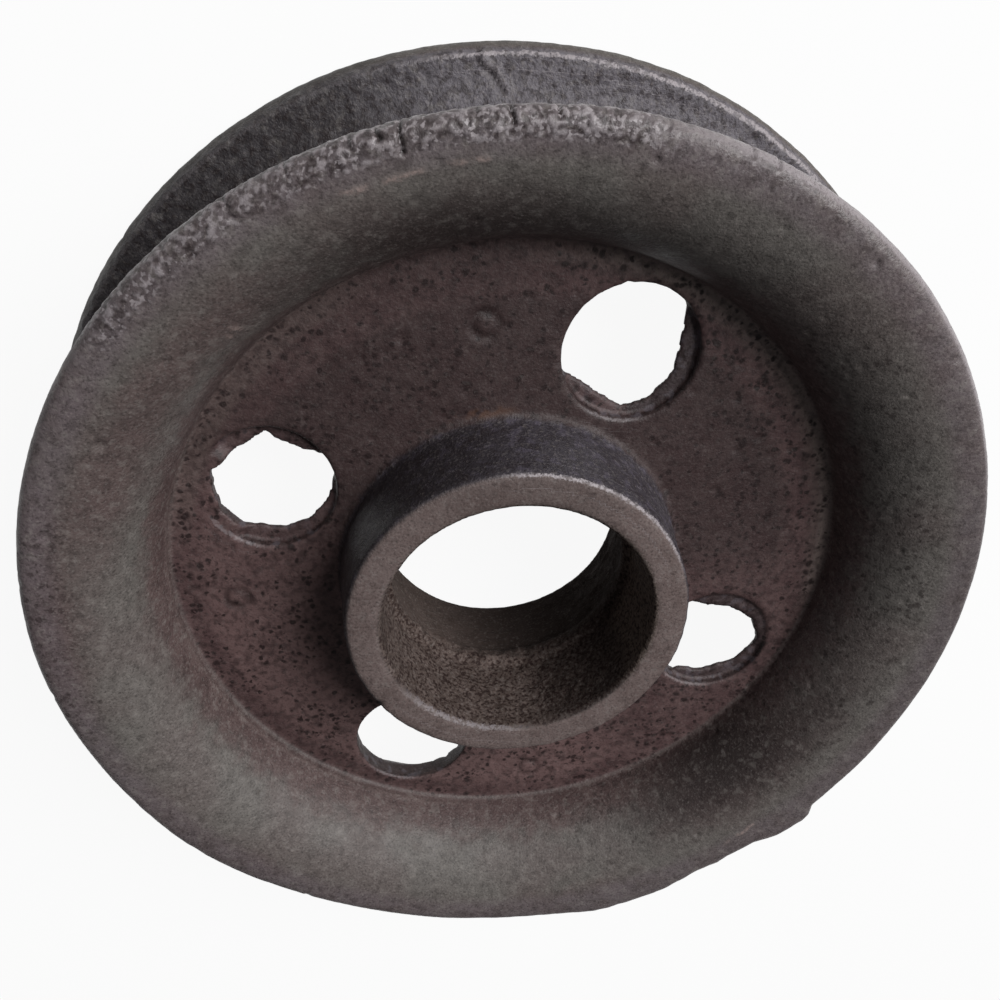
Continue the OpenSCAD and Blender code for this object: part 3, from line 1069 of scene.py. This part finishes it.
    # Round dark pits in clusters, soft ones on the web and small ones elsewhere
    shade = m.times(m.times(m.span(blotch, 0.52, 0.30), 0.5), web)
    colour = m.mix(shade, colour, rgb(46, 32, 32))
    amount = m.plus(m.times(web, 0.80), m.times(pitted, 0.45))
    amount = m.plus(amount, m.times(hub_face, 0.12))
    colour = m.mix(m.times(m.times(m.span(speck, 0.52, 0.66), 0.30), web), colour, rgb(40, 28, 28))
    often = m.span(cluster, 0.40, 0.58, 0.14, 0.95)
    often = m.most(often, m.times(dotted, 0.8))
    pit = m.most(m.spots(place, 1.15, 0.49, often), m.spots(place, 1.9, 0.38, often))
    pit = m.times(pit, m.plus(amount, 0.10), clamp=True)
    in_hole = m.plus(flash, hole_wall, clamp=True)
    rough_skin = m.plus(m.times(m.plus(bore_front, hub_side), 0.55), m.plus(groove, in_hole))
    pit = m.most(pit, m.times(m.span(speck, 0.52, 0.64), m.times(rough_skin, 0.58)))
    fine_pit = m.plus(m.times(amount, 0.5), m.times(rough_skin, 0.4), clamp=True)
    pit = m.most(pit, m.times(m.span(fleck, 0.60, 0.72), fine_pit))
    pit = m.most(pit, m.times(m.span(fleck, 0.50, 0.62), m.times(bore_front, 0.75)))
    # Painted shade in the slits between the lip's lumps, in the clefts and in the rings
    slit_shade = m.times(m.times(m.span(speck, 0.54, 0.64), 0.75), lumpy)
    pit = m.most(m.most(pit, slit_shade), m.times(painted_shade, 0.85))
    colour = m.mix(pit, colour, rgb(34, 20, 20))

    # Soot between the grains and pale tops of the grains, both faint on the web
    calm = m.minus(1.0, m.times(m.most(web, m.times(soot_and_shade, 0.6)), 0.7))
    skin = m.plus(face, m.times(m.plus(groove, m.times(hub_face, 0.5)), 0.9), clamp=True)
    colour = m.mix(m.times(m.times(m.span(blotch, 0.47, 0.30), 0.30), skin), colour, rgb(48, 41, 39))
    colour = m.mix(m.times(m.times(m.span(blotch, 0.56, 0.72), 0.22), skin), colour, rgb(150, 144, 139))
    colour = m.mix(m.times(m.times(m.span(blotch, 0.53, 0.68), 0.4), in_hole), colour, rgb(112, 106, 114))
    colour = m.mix(m.times(m.times(m.span(fleck, 0.44, 0.30), 0.22), calm), colour, rgb(146, 139, 136))
    colour = m.mix(m.times(m.times(m.span(grain, 0.50, 0.28), 0.5), calm), colour, rgb(36, 29, 28))
    colour = m.mix(m.times(m.times(m.span(grain, 0.56, 0.76), 0.38), calm), colour, rgb(150, 140, 136))

    # Worn edges with painted highlights where they face the lamp, lump tops and glints on the lip painted as
    # highlights, streaks, and rust
    wander = m.times(m.minus(blotch, 0.5), 0.5)
    wander = m.plus(wander, m.times(m.minus(grain, 0.5), 0.9))
    thin = m.span(m.math("ABSOLUTE", m.plus(edge_line, wander)), 0.40, 0.12)
    rubbed_and_highlight = m.times(m.times(thin, edge_wear_and_highlight), m.span(fleck, 0.36, 0.54, 0.25, 1.0))
    rubbed_and_highlight = m.most(rubbed_and_highlight, m.times(pale_and_highlight, m.span(grain, 0.3, 0.5, 0.35, 0.7)))
    # Glints on the lumpy lip: painted highlights
    glint = m.times(m.times(m.span(fleck, 0.47, 0.39), m.span(speck, 0.58, 0.46)), lumpy)
    rubbed_and_highlight = m.most(rubbed_and_highlight, m.times(glint, 0.95))
    colour = m.mix(m.times(rubbed_and_highlight, 0.85, clamp=True), colour, rgb(174, 166, 169))
    colour = m.mix(m.times(streak, m.span(fleck, 0.36, 0.56, 0.2, 0.7)), colour, rgb(168, 148, 142))
    rusty = m.times(rust, m.span(blotch, 0.40, 0.62))
    colour = m.mix(m.times(rusty, 0.4), colour, rgb(112, 78, 56))

    shader = m.add("ShaderNodeBsdfPrincipled")
    m.link(colour, shader.inputs["Base Color"])
    rough = m.minus(m.span(mottle, 0.25, 0.75, 0.52, 0.66), m.times(lip, 0.12))
    rough = m.minus(rough, m.times(rubbed_and_highlight, 0.12))
    rough = m.plus(rough, m.times(bore, 0.25), clamp=True)
    m.link(rough, shader.inputs["Roughness"])
    shader.inputs["Specular IOR Level"].default_value = shine

    coarse = m.plus(m.times(m.plus(groove, m.plus(bore, hub_side)), 0.10), 0.10)
    height = m.times(grain, coarse)
    bump = m.add("ShaderNodeBump")
    bump.inputs["Strength"].default_value = 1.0
    bump.inputs["Distance"].default_value = 1.0 * MM
    m.link(height, bump.inputs["Height"])
    m.link(bump.outputs["Normal"], shader.inputs["Normal"])
    out = m.add("ShaderNodeOutputMaterial")
    m.link(shader.outputs["BSDF"], out.inputs["Surface"])
    return m.material


iron = cast_iron("raw_cast_iron", 0.5)
sooty_iron = cast_iron("sooty_cast_iron", 0.08)
for piece in pieces:
    piece.data.materials.append(sooty_iron if piece.name == "casting_bore" else iron)
    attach(piece, "root")
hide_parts("pulley")


# Floor, light and camera


def floor_material():
    """Paper that is white to the eye, keeps a faint shadow and throws little light back."""
    m = Nodes("white_floor")
    path = m.add("ShaderNodeLightPath")
    seen = m.most(path.outputs["Is Camera Ray"], path.outputs["Is Glossy Ray"])
    seen = m.most(seen, path.outputs["Is Transmission Ray"])
    diffuse = m.add("ShaderNodeBsdfDiffuse")
    m.link(m.mix(seen, FLOOR_BOUNCE, FLOOR_WHITE), diffuse.inputs["Color"])
    glow = m.add("ShaderNodeEmission")
    glow.inputs["Strength"].default_value = 1.0
    mix = m.add("ShaderNodeMixShader")
    m.link(m.times(seen, FLOOR_GLOW), mix.inputs["Fac"])
    m.link(diffuse.outputs["BSDF"], mix.inputs[1])
    m.link(glow.outputs["Emission"], mix.inputs[2])
    out = m.add("ShaderNodeOutputMaterial")
    m.link(mix.outputs["Shader"], out.inputs["Surface"])
    return m.material


floor_z = points[:, 2].min() * MM
corners = [(x * FLOOR_HALF, y * FLOOR_HALF, floor_z) for x, y in ((-1, -1), (1, -1), (1, 1), (-1, 1))]
floor = mesh_object("floor", corners, [(0, 1, 2, 3)])
floor.data.materials.append(floor_material())

# The camera's place and axes in the row frame; the picture's middle lies above the lens axis
EYE = Vector((25.775, -100.984, 148.512)) * MM
RIGHT = Vector((-0.990679, -0.087284, 0.104574))
DOWN = Vector((0.0, 0.767721, 0.640784))
AHEAD = Vector((-0.136214, 0.634812, -0.760565))
FOCAL_PIXELS = 1048.0
CENTRE_Y = 667.0
PICTURE = 1000.0
SENSOR = 36.0

camera_data = bpy.data.cameras.new("camera")
camera_data.sensor_fit = "HORIZONTAL"
camera_data.sensor_width = SENSOR
camera_data.lens = FOCAL_PIXELS / PICTURE * SENSOR
camera_data.shift_y = (CENTRE_Y - PICTURE / 2) / PICTURE
camera_data.clip_start = 0.005
camera = bpy.data.objects.new("camera", camera_data)
bpy.context.scene.collection.objects.link(camera)
turned = Matrix((RIGHT, -DOWN, -AHEAD)).transposed()
camera.matrix_world = Matrix.Translation(EYE) @ turned.to_4x4()
bpy.context.scene.camera = camera


def lamp(name, azimuth, elevation, distance, size, power):
    """A soft square lamp that faces the pulley; azimuth runs from +X towards +Y."""
    data = bpy.data.lights.new(name, "AREA")
    data.shape = "SQUARE"
    data.size = size
    data.energy = power
    obj = bpy.data.objects.new(name, data)
    a, e = math.radians(azimuth), math.radians(elevation)
    at = Vector((math.cos(a) * math.cos(e), math.sin(a) * math.cos(e), math.sin(e)))
    obj.location = at * distance
    obj.rotation_euler = at.to_track_quat("Z", "Y").to_euler()
    bpy.context.scene.collection.objects.link(obj)


lamp("key", *KEY_LAMP)

world = bpy.data.worlds.new("studio")
bpy.context.scene.world = world
world.use_nodes = True
background = world.node_tree.nodes["Background"]
background.inputs["Color"].default_value = WORLD_COLOUR
background.inputs["Strength"].default_value = WORLD_LIGHT

bpy.context.scene.view_settings.view_transform = "Standard"
